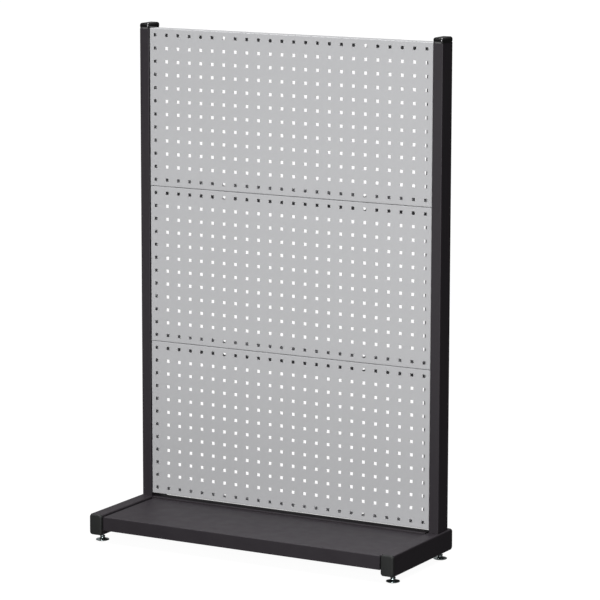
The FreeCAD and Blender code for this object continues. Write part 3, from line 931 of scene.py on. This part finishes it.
# each softbox: where it stands, where it looks, width, height, power
studio = {"floorSize": 160.0, "floorWhite": 0.06, "background": 1.0,
          "floorGlow": 0.96, "sunPower": 3.6, "sunSpread": 40.0,
          "softboxes": {
              "keySoftbox": ((1.3, -5.0, 1.8), (0.1, 0.1, 0.9), 1.2, 2.4, 218.0),
              "rearCard": ((-3.3, 4.2, 1.3), (0, 0, 0.5), 3.4, 3.4, 6.8),
              "cameraCard": ((2.1, -3.6, 1.0), (0.2, 0, 0.3), 3.6, 2.0, 8.0),
              "topStrip": ((-1.3, -3.1, 3.5), (0.2, 0.1, 1.4), 2.6, 0.9, 5.0),
              "floorCard": ((-1.1, -1.95, 0.02), (-1.1, -1.95, 1), 2.4, 1.4, 17.0)},
          "skyLow": 0.32, "skyHorizon": 0.036, "skyHigh": 0.15}


def buildFloor():
    bpy.ops.object.select_all(action="DESELECT")
    bpy.ops.mesh.primitive_plane_add(size=studio["floorSize"], location=(0, 0, 0))
    floor = bpy.context.object
    floor.name = "studioFloor"
    material, shader = newMaterial("studioFloorWhite")
    shade = remap(material, objectNoise(material, 0.8, 2.0), 0.3, 0.7, 0.99, 1.0)
    white = (studio["floorWhite"],) * 3
    base = mixColour(material, shade, tint(white, 0.98), white)
    link(material, base, shader.inputs["Base Color"])
    shader.inputs["Roughness"].default_value = 0.9
    shader.inputs["Specular IOR Level"].default_value = 0.1
    shader.inputs["Emission Color"].default_value = (1, 1, 1, 1)
    shader.inputs["Emission Strength"].default_value = studio["floorGlow"]
    dress(floor, material)
    floor.visible_diffuse = False
    floor.visible_glossy = False


def buildWorld():
    # brighter above and below, dim at eye level, plain white behind the bay
    world = bpy.data.worlds.new("studioWorld")
    bpy.context.scene.world = world
    world.use_nodes = True
    tree = world.node_tree
    output = tree.nodes["World Output"]
    surround = tree.nodes["Background"]
    direction = tree.nodes.new("ShaderNodeTexCoord")
    split = tree.nodes.new("ShaderNodeSeparateXYZ")
    ramp = tree.nodes.new("ShaderNodeValToRGB")
    height = tree.nodes.new("ShaderNodeMapRange")
    height.inputs["From Min"].default_value = -1
    height.inputs["From Max"].default_value = 1
    tree.links.new(direction.outputs["Generated"], split.inputs[0])
    tree.links.new(split.outputs["Z"], height.inputs["Value"])
    tree.links.new(height.outputs["Result"], ramp.inputs["Fac"])
    stops = ((0.17, studio["skyLow"]), (0.28, studio["skyHorizon"]),
             (0.55, studio["skyHorizon"]), (0.8, studio["skyHigh"]),
             (1.0, studio["skyHigh"]))
    elements = ramp.color_ramp.elements
    while len(elements) < len(stops):
        elements.new(0.5)
    for element, (position, level) in zip(elements, stops):
        element.position = position
        element.color = (level, level, level, 1)
    tree.links.new(ramp.outputs["Color"], surround.inputs["Color"])
    behind = tree.nodes.new("ShaderNodeBackground")
    behind.inputs["Color"].default_value = (1, 1, 1, 1)
    behind.inputs["Strength"].default_value = studio["background"]
    path = tree.nodes.new("ShaderNodeLightPath")
    pick = tree.nodes.new("ShaderNodeMixShader")
    tree.links.new(path.outputs["Is Camera Ray"], pick.inputs[0])
    tree.links.new(surround.outputs[0], pick.inputs[1])
    tree.links.new(behind.outputs[0], pick.inputs[2])
    tree.links.new(pick.outputs[0], output.inputs["Surface"])


def addLight(kind, name, spot, aim, power):
    lamp = bpy.data.lights.new(name, kind)
    lamp.energy = power
    light = bpy.data.objects.new(name, lamp)
    bpy.context.scene.collection.objects.link(light)
    light.location = spot
    direction = Vector(aim) - Vector(spot)
    light.rotation_euler = direction.to_track_quat("-Z", "Y").to_euler()
    light.visible_camera = False
    return lamp


def buildLights():
    overhead = addLight("SUN", "overhead", (0, 0, 6), (0, 0, 0), studio["sunPower"])
    overhead.angle = math.radians(studio["sunSpread"])
    for name, (spot, aim, width, height, power) in studio["softboxes"].items():
        box = addLight("AREA", name, spot, aim, power)
        box.shape = "RECTANGLE"
        box.size, box.size_y = width, height


camera = {"place": (4.28761, -7.48986, 2.21350), "azimuth": 29.2199,
          "elevation": 9.8134, "roll": 0.1185, "lens": 186.911, "sensor": 36.0}


def buildCamera():
    data = bpy.data.cameras.new("camera")
    data.lens = camera["lens"]
    data.sensor_width = camera["sensor"]
    data.clip_end = 300.0
    eye = bpy.data.objects.new("camera", data)
    bpy.context.scene.collection.objects.link(eye)
    turn = Euler((math.radians(90 - camera["elevation"]), 0,
                  math.radians(camera["azimuth"]))).to_matrix()
    turn = turn @ Matrix.Rotation(math.radians(camera["roll"]), 3, "Z")
    eye.rotation_euler = turn.to_euler()
    eye.location = camera["place"]
    bpy.context.scene.camera = eye


bpy.context.scene.view_settings.view_transform = "Standard"
buildFloor()
buildWorld()
buildLights()
buildCamera()
print("floor, world, lights and camera in place")
